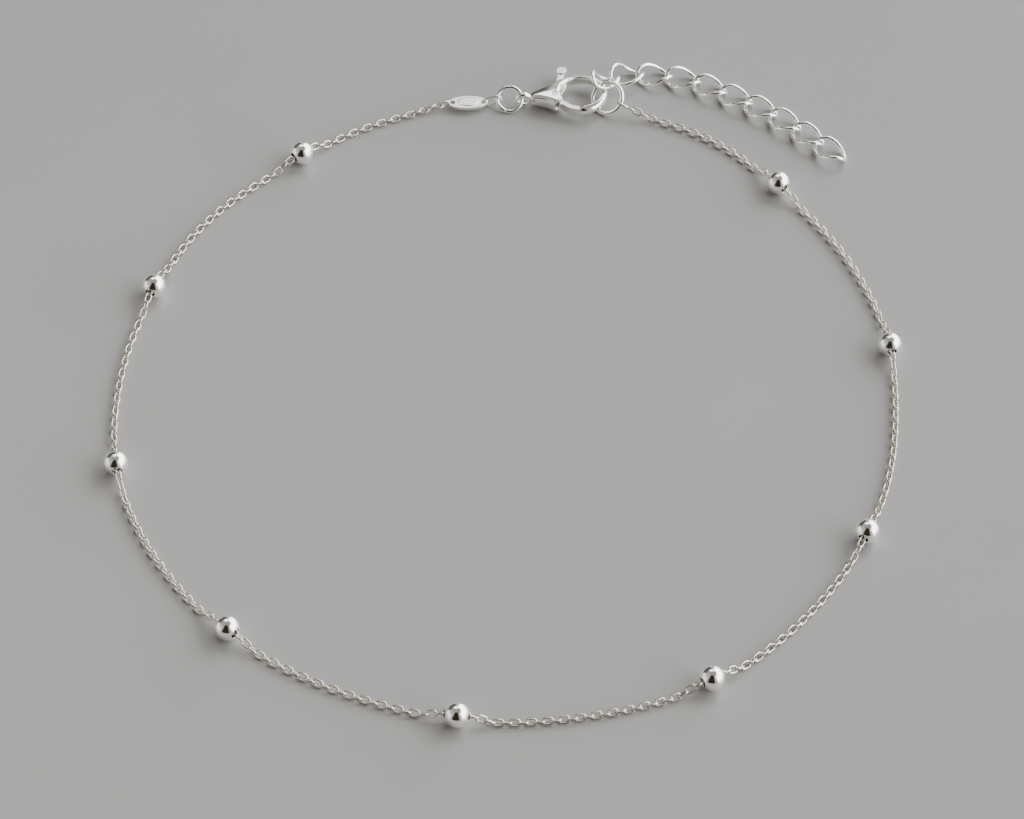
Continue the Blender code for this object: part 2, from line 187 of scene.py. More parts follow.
def cut(item: Object, cutter: Object) -> None:
    """Take one object's shape out of another and remove the cutter."""
    apply_modifier(item, "BOOLEAN", operation="DIFFERENCE", solver="EXACT", object=cutter)
    bpy.data.objects.remove(cutter, do_unlink=True)


def bake(item: Object) -> Object:
    """Apply an object's location, turn and scale to its mesh.

    Args:
        item: the object.

    Returns:
        The same object.
    """
    activate(item)
    bpy.ops.object.transform_apply(location=True, rotation=True, scale=True)
    return item


def join(items: list[Object]) -> Object:
    """Join several objects into the first.

    Args:
        items: the objects, each with its own mesh.

    Returns:
        The joined object.
    """
    clear_selection()
    for item in items:
        item.select_set(True)
    bpy.context.view_layer.objects.active = items[0]
    bpy.ops.object.join()
    return items[0]


def twin(item: Object) -> Object:
    """Copy an object with a mesh of its own.

    Args:
        item: the object.

    Returns:
        The copy.
    """
    copy = item.copy()
    copy.data = item.data.copy()
    bpy.context.scene.collection.objects.link(copy)
    return copy


def face_outward(item: Object, merge: float = 0.0) -> None:
    """Merge doubles if asked and turn every face outward.

    Args:
        item: the object.
        merge: the distance within which vertices are merged, or nought for none.
    """
    with editing(item, whole=True):
        if merge:
            bpy.ops.mesh.remove_doubles(threshold=merge)
        bpy.ops.mesh.normals_make_consistent(inside=False)


def smooth(item: Object, angle: float | None = None) -> None:
    """Shade an object smooth, keeping edges sharper than an angle where one is given.

    Args:
        item: the object.
        angle: the angle in degrees, or none to smooth every edge.
    """
    activate(item)
    if angle is None:
        bpy.ops.object.shade_smooth()
    else:
        bpy.ops.object.shade_smooth_by_angle(angle=math.radians(angle))


def cast(item: Object, grain: float, passes: int) -> None:
    """Skin a jointed shape in one piece and round its edges as tumbling does.

    Args:
        item: the object, made of closed shapes that may run through each other.
        grain: the skin's mesh size.
        passes: how many rounds of smoothing it gets.
    """
    apply_modifier(item, "REMESH", mode="VOXEL", voxel_size=grain, use_smooth_shade=True)
    apply_modifier(item, "SMOOTH", factor=0.5, iterations=passes)
    smooth(item)


def oval_link(radius: float, wire: float, straight: float, segments: int, sides: int) -> Object:
    """Stretch a small torus into one oval wire link along x.

    Args:
        radius: the wire's middle radius at the round ends.
        wire: the wire's radius.
        straight: half the straight part's length.
        segments: how many steps the torus has round it.
        sides: how many sides its wire has.

    Returns:
        The link about its own middle.
    """
    clear_selection()
    bpy.ops.mesh.primitive_torus_add(
        major_segments=segments, minor_segments=sides, major_radius=radius, minor_radius=wire,
        rotation=(0.0, 0.0, math.pi / segments))
    link = bake(bpy.context.object)
    for side in (-1.0, 1.0):
        with editing(link):
            select(Pick.VERTS, lambda place: place.x * side > 0.0)
            bpy.ops.transform.translate(value=(side * straight, 0.0, 0.0))
    smooth(link)
    return link


def turned(angles: Point) -> Matrix:
    """Return the turn by three XYZ angles in degrees."""
    return Euler([math.radians(angle) for angle in angles]).to_matrix()


def seating(centre: Point | Vector, turn: Matrix) -> Matrix:
    """Return the matrix that seats a piece.

    Args:
        centre: its middle in the measured frame, in millimetres.
        turn: its turn.

    Returns:
        The matrix from the piece's own millimetres to metres in the row frame.
    """
    shift = Matrix.Translation(Vector(centre) + FRAME_SHIFT)
    return Matrix.Scale(MM, 4) @ shift @ turn.to_4x4()


def seat(item: Object, name: str, matrix: Matrix) -> Object:
    """Move a modelled piece to its place, which is baked into its mesh.

    Args:
        item: the modelled piece, about its own middle.
        name: the piece's name.
        matrix: where it goes.

    Returns:
        The seated piece.
    """
    bake(item)
    item.data.transform(matrix)
    item.data.update()
    item.name = item.data.name = name
    return item


def wire_up(tree: NodeTree, node: Node, inputs: dict[str | int, object]) -> None:
    """Give a shader node's sockets their values or what feeds them.

    Args:
        tree: the node tree.
        node: the node.
        inputs: for each socket, a plain value or another node's output.
    """
    for name, value in inputs.items():
        if isinstance(value, NodeSocket):
            tree.links.new(value, node.inputs[name])
        else:
            node.inputs[name].default_value = value


def add_node(tree: NodeTree, kind: str, inputs: dict[str | int, object] | None = None,
             **settings: str) -> bpy.types.bpy_prop_collection:
    """Add a shader node, set it up and wire it.

    Args:
        tree: the node tree.
        kind: the node's type name.
        inputs: for each socket, a plain value or another node's output.
        settings: the node's own properties.

    Returns:
        The node's outputs.
    """
    node = tree.nodes.new(kind)
    for name, value in settings.items():
        setattr(node, name, value)
    wire_up(tree, node, inputs or {})
    return node.outputs


def calculate(tree: NodeTree, operation: str, *values: NodeSocket) -> NodeSocket:
    """Return the result of one Math node on these sockets."""
    inputs = dict(enumerate(values))
    return add_node(tree, "ShaderNodeMath", inputs, operation=operation)["Value"]


def mix(tree: NodeTree, share: NodeSocket, first: object, second: object) -> NodeSocket:
    """Return the colour between two colours or sockets, by the share of the second."""
    inputs = {"Factor": share, "A": first, "B": second}
    return add_node(tree, "ShaderNodeMix", inputs, data_type="RGBA")["Result"]


def new_material(name: str) -> tuple[Material, NodeTree]:
    """Start a material that is built of nodes.

    Args:
        name: its name.

    Returns:
        The material and its node tree.
    """
    material = bpy.data.materials.new(name)
    material.use_nodes = True
    return material, material.node_tree


@dataclass(frozen=True)
class Handover:
    """What a finished piece is given: its body, its nodes and its finish."""

    slot: Slot
    finish: Material
    body: Body = Body.ANKLET

    def give(self, item: Object, *nodes: str) -> None:
        """Dress a piece and let it ride its body in place of its nodes.

        Args:
            item: the seated piece.
            nodes: the nodes it stands for.
        """
        item.data.materials.clear()
        item.data.materials.append(self.finish)
        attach(item, self.body.value)
        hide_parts(*nodes)
        LOG.info("%s: %d faces, rides on %s", item.name, len(item.data.polygons), self.body.value)


@dataclass(frozen=True)
class SilverFinish:
    """Silver with fine wear: hairline scratches, soft clouding and a little tarnish."""

    name: str
    tint: Tone
    dull: Tone
    roughness: Span
    clouding: float
    scratch_depth: float
    dullness: float
    cloud_detail: float = 4.0
    worn_range: Span = (0.42, 0.70)
    rubbed_range: Span = (0.12, 0.45)
    hairline_turn: Point = (0.3, 0.5, 0.9)
    hairline_stretch: Point = (2.0, 14.0, 14.0)
    hairline_scale: float = 1.6
    hairline_detail: float = 6.0
    hairline_rise: float = 0.004

    def material(self) -> Material:
        """Build the finish as nodes that read the piece's own coordinates.

        Returns:
            The material.
        """
        material, tree = new_material(self.name)
        place = add_node(tree, "ShaderNodeTexCoord")["Object"]
        scaled = add_node(tree, "ShaderNodeMapping", {
            "Vector": place, "Scale": (1.0 / MM,) * 3})["Vector"]
        cloud = add_node(tree, "ShaderNodeTexNoise", {
            "Vector": scaled, "Scale": self.clouding, "Detail": self.cloud_detail})["Fac"]
        stretched = add_node(tree, "ShaderNodeMapping", {
            "Vector": scaled, "Rotation": self.hairline_turn,
            "Scale": self.hairline_stretch})["Vector"]
        hairline = add_node(tree, "ShaderNodeTexNoise", {
            "Vector": stretched, "Scale": self.hairline_scale,
            "Detail": self.hairline_detail})["Fac"]
        rough = add_node(tree, "ShaderNodeMapRange", {
            "Value": calculate(tree, "MULTIPLY", cloud, hairline),
            "From Min": self.rubbed_range[0], "From Max": self.rubbed_range[1],
            "To Min": self.roughness[0], "To Max": self.roughness[1]})["Result"]
        worn = add_node(tree, "ShaderNodeMapRange", {
            "Value": cloud, "From Min": self.worn_range[0], "From Max": self.worn_range[1],
            "To Max": self.dullness})["Result"]
        bump = add_node(tree, "ShaderNodeBump", {
            "Height": hairline, "Strength": self.scratch_depth,
            "Distance": self.hairline_rise * MM})["Normal"]
        wire_up(tree, tree.nodes["Principled BSDF"], {
            "Metallic": 1.0, "Roughness": rough, "Normal": bump,
            "Base Color": mix(tree, worn, (*self.tint, 1.0), (*self.dull, 1.0))})
        return material


@dataclass(frozen=True)
class StoneFinish:
    """Plain pale stone with a soft sheen; where the silver mirrors it, its colour is painted
    brighter than the camera sees it, a painted glare.
    """

    name: str = "pale_stone"
    tone: float = 0.385
    mottle: float = 0.03
    # the tone that glossy rays see: painted glare, brighter than the stone's own tone
    mirrored: Tone = (0.53, 0.522, 0.507)
    sheen: float = 0.3
    roughness: float = 0.26
    cloud_scale: float = 60.0
    cloud_detail: float = 5.0

    def material(self) -> Material:
        """Build the stone as nodes that read the floor's own coordinates.

        Returns:
            The material.
        """
        material, tree = new_material(self.name)
        place = add_node(tree, "ShaderNodeTexCoord")["Object"]
        cloud = add_node(tree, "ShaderNodeTexNoise", {
            "Vector": place, "Scale": self.cloud_scale, "Detail": self.cloud_detail})["Fac"]
        dark, light = self.tone * (1.0 - self.mottle), self.tone * (1.0 + self.mottle)
        tone = mix(tree, cloud, (dark, dark, dark, 1.0), (light, light, light, 1.0))
        # glossy rays get the brighter tone: painted glare on the stone
        glossy = add_node(tree, "ShaderNodeLightPath")["Is Glossy Ray"]
        wire_up(tree, tree.nodes["Principled BSDF"], {
            "Base Color": mix(tree, glossy, tone, (*self.mirrored, 1.0)),
            "Roughness": self.roughness, "Specular IOR Level": self.sheen})
        return material


@dataclass
class PlanLine:
    """A smooth line through plan points, read by the distance along it."""

    knots: tuple[Plan, ...]
    samples: int = 60
    points: np.ndarray = field(init=False)
    run: np.ndarray = field(init=False)

    def __post_init__(self) -> None:
        """Sample the natural cubic spline through the knots."""
        places = np.array(self.knots)
        steps = np.linalg.norm(np.diff(places, axis=0), axis=1)
        size = len(places)
        matrix, right = np.zeros((size, size)), np.zeros((size, 2))
        matrix[0, 0] = matrix[-1, -1] = 1.0
        for i in range(1, size - 1):
            before, after = steps[i - 1], steps[i]
            matrix[i, i - 1:i + 2] = (before, 2.0 * (before + after), after)
            right[i] = 6.0 * ((places[i + 1] - places[i]) / after
                              - (places[i] - places[i - 1]) / before)
        bend = np.linalg.solve(matrix, right)
        found = []
        for i, length in enumerate(steps):
            for b in np.linspace(0.0, 1.0, self.samples, endpoint=False):
                a = 1.0 - b
                bulge = (a ** 3 - a) * bend[i] + (b ** 3 - b) * bend[i + 1]
                found.append(a * places[i] + b * places[i + 1] + bulge * length ** 2 / 6.0)
        self.points = np.array([*found, places[-1]])
        gaps = np.linalg.norm(np.diff(self.points, axis=0), axis=1)
        self.run = np.concatenate([[0.0], np.cumsum(gaps)])

    def at(self, length: float) -> Plan:
        """Return the plan point at a distance along the line."""
        x, y = (float(np.interp(length, self.run, self.points[:, axis])) for axis in (0, 1))
        return x, y

    def heading(self, length: float) -> float:
        """Return the line's heading in degrees at a distance along it."""
        behind, ahead = self.at(length - HEADING_STEP), self.at(length + HEADING_STEP)
        return math.degrees(math.atan2(ahead[1] - behind[1], ahead[0] - behind[0]))


@dataclass
class Route:
    """The line that the chain's middle follows, from the tag round to the end ring."""

    # x, y and whether a bead sits there
    knots: tuple[tuple[float, float, bool], ...] = (
        (-6.95, 40.00, False), (-12.5, 37.9, False), (-17.4, 35.5, False), (-22.6, 31.6, True),
        (-28.7, 26.4, False), (-33.8, 20.1, False), (-37.6, 11.6, True), (-39.7, 4.0, False),
        (-40.6, -4.0, False), (-40.0, -13.2, True), (-37.6, -20.6, False), (-33.6, -27.7, False),
        (-27.6, -34.6, True), (-20.9, -39.5, False), (-13.4, -43.0, False), (-4.9, -45.3, True),
        (3.7, -45.4, False), (12.0, -43.9, False), (19.9, -40.8, True), (26.9, -35.3, False),
        (32.1, -29.1, False), (36.1, -22.2, True), (39.1, -13.1, False), (40.1, -4.8, False),
        (40.0, 3.2, True), (37.8, 12.6, False), (34.2, 20.2, False), (29.4, 27.0, True),
        (24.6, 32.6, False), (19.4, 36.2, False), (12.9, 38.80, False),
    )
    rest_height: float = 0.357
    bead_height: float = 1.25
    level_length: float = 1.0
    ramp_end: float = 4.2
    tag_end_lift: float = 0.22
    ring_end_lift: float = 0.85
    line: PlanLine = field(init=False)
    beads: list[float] = field(init=False)

    def __post_init__(self) -> None:
        """Draw the line and note how far along it each bead sits."""
        self.line = PlanLine(tuple(knot[:2] for knot in self.knots))
        self.beads = [float(self.line.run[index * self.line.samples])
                      for index, knot in enumerate(self.knots) if knot[2]]

    @property
    def length(self) -> float:
        """The chain's whole length."""
        return float(self.line.run[-1])

    def height(self, length: float) -> float:
        """Return the chain's middle height at a running length.

        Args:
            length: how far along the chain.

        Returns:
            The height, raised in each bead and at the chain's ends.
        """
        height = self.rest_height
        rise = self.bead_height - self.rest_height
        for bead in self.beads:
            height += rise * ease(abs(length - bead), self.level_length, self.ramp_end)
        height += self.tag_end_lift * ease(length, 0.0, self.ramp_end)
        return height + self.ring_end_lift * ease(self.length - length, 0.0, self.ramp_end)

    def at(self, length: float) -> Vector:
        """Return the chain's middle at a running length."""
        return Vector((*self.line.at(length), self.height(length)))


def ease(away: float, start: float, end: float) -> float:
    """Fall smoothly from one to nought as a distance goes from start to end."""
    share = min(max((away - start) / (end - start), 0.0), 1.0)
    return 0.5 * (1.0 + math.cos(math.pi * share))


@dataclass
class JumpRing:
    """A round wire ring whose closed joint shows as a fine line."""

    name: str
    centre: Point
    angles: Point
    radius: float
    wire: float
    joint_angle: float
    groove: float = 0.035
    segments: int = 72
    sides: int = 20
    near: float = 0.01
    sharp_angle: float = 60.0

    def wire_at(self, angle: float) -> tuple[Vector, Vector]:
        """Return a place on the ring's wire and the wire's direction there.

        Args:
            angle: degrees round the ring from its own x axis.

        Returns:
            The place in the measured frame, in millimetres, and the direction.
        """
        turn = turned(self.angles)
        c, s = math.cos(math.radians(angle)), math.sin(math.radians(angle))
        place = Vector(self.centre) + turn @ Vector((self.radius * c, self.radius * s, 0.0))
        return place, turn @ Vector((-s, c, 0.0))

    def build(self, node: str, silver: Handover) -> None:
        """Turn the ring from a torus and press its joint line in.

        Args:
            node: the node it stands for.
            silver: what the ring is given.
        """
        clear_selection()
        bpy.ops.mesh.primitive_torus_add(
            major_segments=self.segments, minor_segments=self.sides,
            major_radius=self.radius, minor_radius=self.wire)
        ring = bpy.context.object
        step = 360.0 / self.segments
        at = math.radians(step * round(self.joint_angle / step))

        def on_joint(place: Vector) -> bool:
            """Say whether a place lies in the joint's section."""
            off = math.remainder(math.atan2(place.y, place.x) - at, math.tau)
            return abs(off) < self.near

        with editing(ring, Pick.EDGES):
            select(Pick.EDGES, on_joint)
            bpy.ops.mesh.bevel(offset=self.groove, segments=2, affect="EDGES")
            bpy.ops.mesh.select_mode(type="VERT")
            select(Pick.VERTS, on_joint)
            bpy.ops.transform.shrink_fatten(value=-self.groove)
        face_outward(ring)
        smooth(ring, self.sharp_angle)
        silver.give(seat(ring, self.name, seating(self.centre, turned(self.angles))), node)


@dataclass
class Beads:
    """Nine round polished beads, bored through."""

    radius: float = 1.2495
    bore: float = 0.50
    segments: int = 80
    rings: int = 38
    rim: float = 0.05
    near: float = 0.02
    sharp_angle: float = 60.0

    def model(self) -> Object:
        """Make one bead, bored along x.

        Returns:
            The bead about its own middle.
        """
        clear_selection()
        bpy.ops.mesh.primitive_uv_sphere_add(
            segments=self.segments, ring_count=self.rings, radius=self.radius,
            rotation=(0.0, math.pi / 2.0, 0.0))
        bead = bake(bpy.context.object)
        reach = math.sqrt(self.radius ** 2 - self.bore ** 2)

        def on_rim(place: Vector) -> bool:
            """Say whether a place lies on the bore's rim."""
            out = abs(math.hypot(place.y, place.z) - self.bore)
            return out < self.near and abs(abs(place.x) - reach) < self.near

        with editing(bead, Pick.FACES):
            select(Pick.FACES,
                   lambda place: math.hypot(place.y, place.z) < self.bore - self.near)
            bpy.ops.mesh.delete(type="FACE")
            bpy.ops.mesh.select_mode(type="EDGE")
            bpy.ops.mesh.select_all(action="DESELECT")
            bpy.ops.mesh.select_non_manifold()
            bpy.ops.mesh.bridge_edge_loops()
            bpy.ops.mesh.select_all(action="DESELECT")
            select(Pick.EDGES, on_rim)
            bpy.ops.mesh.bevel(offset=self.rim, segments=RIM_STEPS, affect="EDGES")
        face_outward(bead)
        smooth(bead, self.sharp_angle)
        return bead

    def build(self, route: Route, silver: Handover) -> None:
        """Thread the beads on the chain's line.

        Args:
            route: the chain's line.
            silver: what each bead is given.
        """
        pattern = self.model()
        for number, length in enumerate(route.beads, 1):
            matrix = seating(route.at(length), turned((0.0, 0.0, route.line.heading(length))))
            silver.give(seat(twin(pattern), f"bead_{number}_polished", matrix), f"bead_{number}")
        bpy.data.objects.remove(pattern, do_unlink=True)


@dataclass
class TraceChain:
    """Fine oval links, each turned a quarter to the next."""

    half_length: float = 0.535
    half_width: float = 0.325
    wire: float = 0.112
    segments: int = 12
    sides: int = 5
    pitches: tuple[float, ...] = (0.86, 0.86, 0.86, 0.86, 0.85, 0.80, 0.80, 0.84, 0.85, 0.855)
    lean: float = 45.0
    settle_links: int = 6
    start: float = 0.06
    look: float = 0.4
    end_scale: float = 1.25
    end_pitch_scale: float = 1.08
    end_look: float = 0.6
    clearance: float = 0.01
    ring_angle: float = -30.0

    def pose(self, centre: Vector, direction: Vector, lean: float) -> Matrix:
        """Return where one link goes.

        Args:
            centre: its middle in the measured frame.
            direction: the way the chain runs there.
            lean: how far its face is turned about the chain, in degrees.

        Returns:
            The link's matrix into the row frame.
        """
        forward = direction.normalized()
        side = Vector((-forward.y, forward.x, 0.0)).normalized()
        level = Matrix((forward, side, forward.cross(side))).transposed()
        return seating(centre, level @ Matrix.Rotation(math.radians(lean), 3, "X"))

    def stations(self, route: Route, stop: float) -> list[float]:
        """Space the links along the route, closer where the chain lies slack.

        Args:
            route: the chain's line.
            stop: how far along the last plain link sits.

        Returns:
            How far along each link's middle is.
        """
        bounds = [self.start, *route.beads, stop]
        lengths = []
        for pitch, low, high in zip(self.pitches, bounds, bounds[1:]):
            count = round((high - low) / pitch)
            lengths += [low + (high - low) * step / count for step in range(count)]
        return [*lengths, stop]

    def end_pose(self, route: Route, ring: JumpRing) -> tuple[Vector, Matrix]:
        """Hook the last, larger link round the end ring's wire.

        Args:
            route: the chain's line.
            ring: the ring that it hangs on.

        Returns:
            The link's middle in the measured frame, and its matrix.
        """
        wire, along = ring.wire_at(self.ring_angle)
        back = route.at(route.length - self.end_look) - wire
        forward = -(back - along * back.dot(along)).normalized()
        reach = (self.half_length - self.wire) * self.end_scale - ring.wire - self.clearance
        centre = wire - forward * reach
        turn = Matrix((forward, along.cross(forward), along)).transposed()
        return centre, seating(centre, turn) @ Matrix.Scale(self.end_scale, 4)

    def build(self, route: Route, ring: JumpRing, silver: Handover) -> None:
        """Lay the links along the route as one piece.

        Args:
            route: the chain's line.
            ring: the end ring.
            silver: what the chain is given.
        """
        pattern = oval_link(self.half_width, self.wire, self.half_length - self.half_width,
                            self.segments, self.sides)
        last, last_matrix = self.end_pose(route, ring)
        tail = route.at(route.length) - last
        spare = self.pitches[-1] * self.end_pitch_scale - tail.length
        matrices = []
        for number, length in enumerate(self.stations(route, route.length - max(0.0, spare))):
            ahead = min(length + self.look, route.length)
            behind = max(length - self.look, 0.0)
            settle = ease(float(number), 0.0, float(self.settle_links))
            even, odd = self.lean + (90.0 - self.lean) * settle, -self.lean * (1.0 - settle)
            matrices.append(self.pose(route.at(length), route.at(ahead) - route.at(behind),
                                      odd if number % 2 else even))
        links = []
        for matrix in [*matrices, last_matrix]:
            link = twin(pattern)
            link.data.transform(matrix)
            links.append(link)
        bpy.data.objects.remove(pattern, do_unlink=True)
        chain = join(links)
        chain.name = chain.data.name = "trace_chain_links"
        silver.give(chain, "trace_chain")


@dataclass
class Tag:
    """The small oval end plate with a bare raised panel and a hole at each end."""

    centre: Point = (-4.50, 40.13, 0.42)
    yaw: float = 2.0
    length: float = 4.4
    width: float = 2.0
    thickness: float = 0.35
    hole: float = 0.28
    inset: float = 0.50
    panel_margin: float = 0.34
    panel_length_scale: float = 0.62
    panel_rise: float = 0.075
    panel_taper: Plan = (0.96, 0.93)
    drill_length: float = 2.0
    hole_sides: int = 48
    grain: float = 0.03

    def build(self, soft: Handover) -> None:
        """Press the plate, raise its panel, drill it and tumble it.

        Args:
            soft: what the tag is given.
        """
        clear_selection()
        bpy.ops.mesh.primitive_cylinder_add(
            vertices=FINE_SIDES, radius=1.0, depth=self.thickness,
            location=(0.0, 0.0, self.thickness / 2.0))
        plate = bake(bpy.context.object)
        with editing(plate, Pick.FACES, whole=True):
            bpy.ops.transform.resize(value=(self.length / 2.0, self.width / 2.0, 1.0))
            bpy.ops.mesh.select_all(action="DESELECT")
            select(Pick.FACES, lambda place: place.z > self.thickness - WELD)
            bpy.ops.mesh.inset(thickness=self.panel_margin)
            bpy.ops.transform.resize(value=(self.panel_length_scale, 1.0, 1.0))
            bpy.ops.mesh.extrude_region_move(
                TRANSFORM_OT_translate={"value": (0.0, 0.0, self.panel_rise)})
            bpy.ops.transform.resize(value=(*self.panel_taper, 1.0))
        for side in (-1.0, 1.0):
            clear_selection()
            bpy.ops.mesh.primitive_cylinder_add(
                vertices=self.hole_sides, radius=self.hole, depth=self.drill_length,
                location=(side * (self.length / 2.0 - self.inset), 0.0, 0.0))
            cut(plate, bpy.context.object)
        cast(plate, self.grain, LAST_TUMBLE)
        matrix = seating(self.centre, turned((0.0, 0.0, self.yaw)))
        soft.give(seat(plate, "tag_plate", matrix), "tag")


@dataclass
class TagLink:
    """The upright soldered link between the tag and the clasp's ring."""

    centre: Point = (-1.78, 40.24, 0.82)
    tilt: float = 19.6
    length: float = 2.31
    width: float = 1.24
    wire: float = 0.11
    segments: int = 48
    sides: int = 16

    def build(self, silver: Handover) -> None:
        """Bend the long link and stand it up.

        Args:
            silver: what the link is given.
        """
        half = self.width / 2.0 - self.wire
        straight = self.length / 2.0 - self.wire - half
        link = oval_link(half, self.wire, straight, self.segments, self.sides)
        link.rotation_euler = (math.pi / 2.0, 0.0, 0.0)
        matrix = seating(self.centre, turned((0.0, -self.tilt, 0.0)))
        silver.give(seat(link, "tag_link_wire", matrix), "tag_link")


@dataclass
class Extender:
    """Ten twisted curb links, the tail that sets how far round the anklet closes."""

    half_length: float = 1.94
    half_width: float = 1.36
    wire: float = 0.21
    twist: float = -45.0
    bends: int = 7
    bend_steps: int = 2
    wire_steps: int = 5
    height: float = 0.74
    pitch: float = 3.27
    count: int = 8
    leaning: tuple[tuple[Point, Point], ...] = (
        ((10.64, 42.42, 2.025), (0.9, -29.9, -136.2)),
        ((13.16, 44.14, 1.14), (4.4, 16.4, 19.6)),
    )
    knots: tuple[Plan, ...] = ((16.34, 44.42), (19.68, 43.77), (22.82, 42.25), (28.46, 38.66),
                               (35.65, 32.08))

    def model(self) -> Object:
        """Draw one link's oval, twist it about its length and give it its wire.

        Returns:
            The link about its own middle.
        """
        clear_selection()
        bpy.ops.curve.primitive_bezier_circle_add(radius=1.0)
        link = bpy.context.object
        bpy.ops.object.mode_set(mode="EDIT")
        bpy.ops.curve.select_all(action="SELECT")
        bpy.ops.transform.resize(value=(self.half_length, self.half_width, 1.0))
        bpy.ops.curve.subdivide(number_cuts=self.bends)
        bpy.ops.object.mode_set(mode="OBJECT")
        apply_modifier(link, "SIMPLE_DEFORM", deform_method="TWIST", deform_axis="X",
                       angle=math.radians(2.0 * self.twist))
        link.data.resolution_u = self.bend_steps
        link.data.bevel_depth = self.wire
        link.data.bevel_resolution = self.wire_steps
        bpy.ops.object.convert(target="MESH")
        face_outward(link, WELD)
        smooth(link)
        return link

    def build(self, silver: Handover) -> None:
        """Hang the first two links on the ring and lay the others along the tail.

        Args:
            silver: what each link is given.
        """
        pattern = self.model()
        poses = list(self.leaning)
        line = PlanLine(self.knots)
        for number in range(self.count):
            length = number * self.pitch
            poses.append(((*line.at(length), self.height), (0.0, 0.0, line.heading(length))))
        for number, (centre, angles) in enumerate(poses, 1):
            link = seat(twin(pattern), f"extender_link_{number}_wire",
                        seating(centre, turned(angles)))
            silver.give(link, f"extender_link_{number}")
        bpy.data.objects.remove(pattern, do_unlink=True)


@dataclass
class Clasp:
    """The lobster clasp: cast hook and body with an eye, sprung lever and rivet."""

    centre: Point = (8.12, 40.80, 1.20)
    angles: Point = (0.0, -1.8, 4.4)
    # the blank's sections: x, half width, half thickness
    sections: tuple[Point, ...] = (
        (-5.80, 0.45, 0.56), (-5.20, 0.60, 0.70), (-4.60, 0.82, 0.84), (-3.80, 1.20, 0.93),
        (-3.10, 1.68, 0.95), (-2.40, 2.17, 0.90), (-1.45, 2.51, 0.80), (-0.50, 2.86, 0.72),
        (0.60, 2.84, 0.65), (1.50, 2.48, 0.60), (2.25, 1.83, 0.57), (2.70, 1.06, 0.55),
        (2.88, 0.34, 0.50),
    )
    corner: float = 0.32
    fullness: float = 1.04
    eye_x: float = -6.49
    eye_radius: float = 0.725
    eye_wall: float = 0.225
    eye_depth: float = 0.32
    eye_sides: int = 24
    # the flared opening: radius, height
    opening: tuple[Plan, ...] = ((2.20, 0.34), (2.26, 0.50), (2.36, 0.66), (2.48, 0.80),
                                 (2.60, 0.98), (2.72, 1.50))
    hook_face: Plan = (-0.115, -2.535)
    hook_face_angle: float = 42.0
    tip_gap: float = 0.08
    body_cut_angle: float = -153.0
    gap_end: float = 0.55
    gap_radius: float = 4.4
    pin: Plan = (-3.0, -0.3)
    pin_radius: float = 0.30
    pin_half: float = 0.92
    pin_rounding: float = 0.07
    pin_sharp_angle: float = 50.0
    body_hole: float = 0.33
    drill_length: float = 3.0
    slot_half: float = 0.36
    slot_end: float = -1.55
    slot_reach: float = 3.4
    hub_room: Plan = (0.78, 0.75)
    gate_room: float = 0.10
    spring_hole: Plan = (-5.30, -1.8)
    spring_hole_radius: float = 0.23
    hub: float = 0.72
    hub_hole: float = 0.36
    lever_half: float = 0.30
    gate_half: float = 0.50
    gate: Span = (2.25, 2.83)
    gate_span: Span = (-146.0, -100.0)
    gate_root: Plan = (-2.12, -1.44)
    root_width: float = 0.62
    arm: Span = (2.31, 2.77)
    arm_span: Span = (-152.0, -140.0)
    thumb: Plan = (-1.93, 3.72)
    thumb_radius: float = 0.55
    thumb_arm: float = 0.35
    sweep_steps: int = 24
    rounding: int = 3
    grain: float = 0.045
    lever_grain: float = 0.035

    def matrix(self) -> Matrix:
        """Where the clasp is seated."""
        return seating(self.centre, turned(self.angles))

    def blank(self) -> Object:
        """Draw the body out section by section and round it.

        Returns:
            The uncut body.
        """
        clear_selection()
        first = self.sections[0]
        bpy.ops.mesh.primitive_plane_add(size=2.0, location=(first[0], 0.0, 0.0),
                                         rotation=(0.0, math.pi / 2.0, 0.0))
        body = bake(bpy.context.object)
        with editing(body, whole=True):
            bpy.ops.mesh.bevel(offset=self.corner, affect="VERTICES")
        with editing(body, Pick.FACES, whole=True):
            bpy.ops.transform.resize(
                value=(1.0, first[1] * self.fullness, first[2] * self.fullness))
            for before, after in zip(self.sections, self.sections[1:]):
                bpy.ops.mesh.extrude_region_move(
                    TRANSFORM_OT_translate={"value": (after[0] - before[0], 0.0, 0.0)})
                bpy.ops.transform.resize(
                    value=(1.0, after[1] / before[1], after[2] / before[2]))
        face_outward(body)
        apply_modifier(body, "SUBSURF", levels=self.rounding, render_levels=self.rounding)
        return body

    def add_eye(self, body: Object) -> Object:
        """Join the eye, which stands upright at the body's end.

        Args:
            body: the cut body.

        Returns:
            The body with its eye.
        """
        clear_selection()
        bpy.ops.mesh.primitive_torus_add(
            major_segments=ROUND_SIDES, minor_segments=self.eye_sides,
            major_radius=self.eye_radius, minor_radius=self.eye_wall)
        eye = bpy.context.object
        with editing(eye, whole=True):
            bpy.ops.transform.resize(value=(1.0, 1.0, self.eye_depth / self.eye_wall))
        eye.rotation_euler = (math.pi / 2.0, 0.0, 0.0)
        eye.location = (self.eye_x, 0.0, 0.0)
        return join([body, bake(eye)])

    def opening_cutter(self) -> Object:
        """Turn the flared shape that opens the hook's ring.

        Returns:
            The cutter.
        """
        radius, height = self.opening[0]
        clear_selection()
        bpy.ops.mesh.primitive_cylinder_add(vertices=FINE_SIDES, radius=radius,
                                            depth=2.0 * height)
        cutter = bpy.context.object
        for side in (-1.0, 1.0):

            def on_cap(place: Vector) -> bool:
                """Say whether a place is the middle of this side's cap."""
                return place.z * side > height - WELD and place.xy.length < WELD

            with editing(cutter, Pick.FACES):
                select(Pick.FACES, on_cap)
                for before, after in zip(self.opening, self.opening[1:]):
                    rise, flare = side * (after[1] - before[1]), after[0] / before[0]
                    bpy.ops.mesh.extrude_region_move(
                        TRANSFORM_OT_translate={"value": (0.0, 0.0, rise)})
                    bpy.ops.transform.resize(value=(flare, flare, 1.0))
        face_outward(cutter)
        return cutter

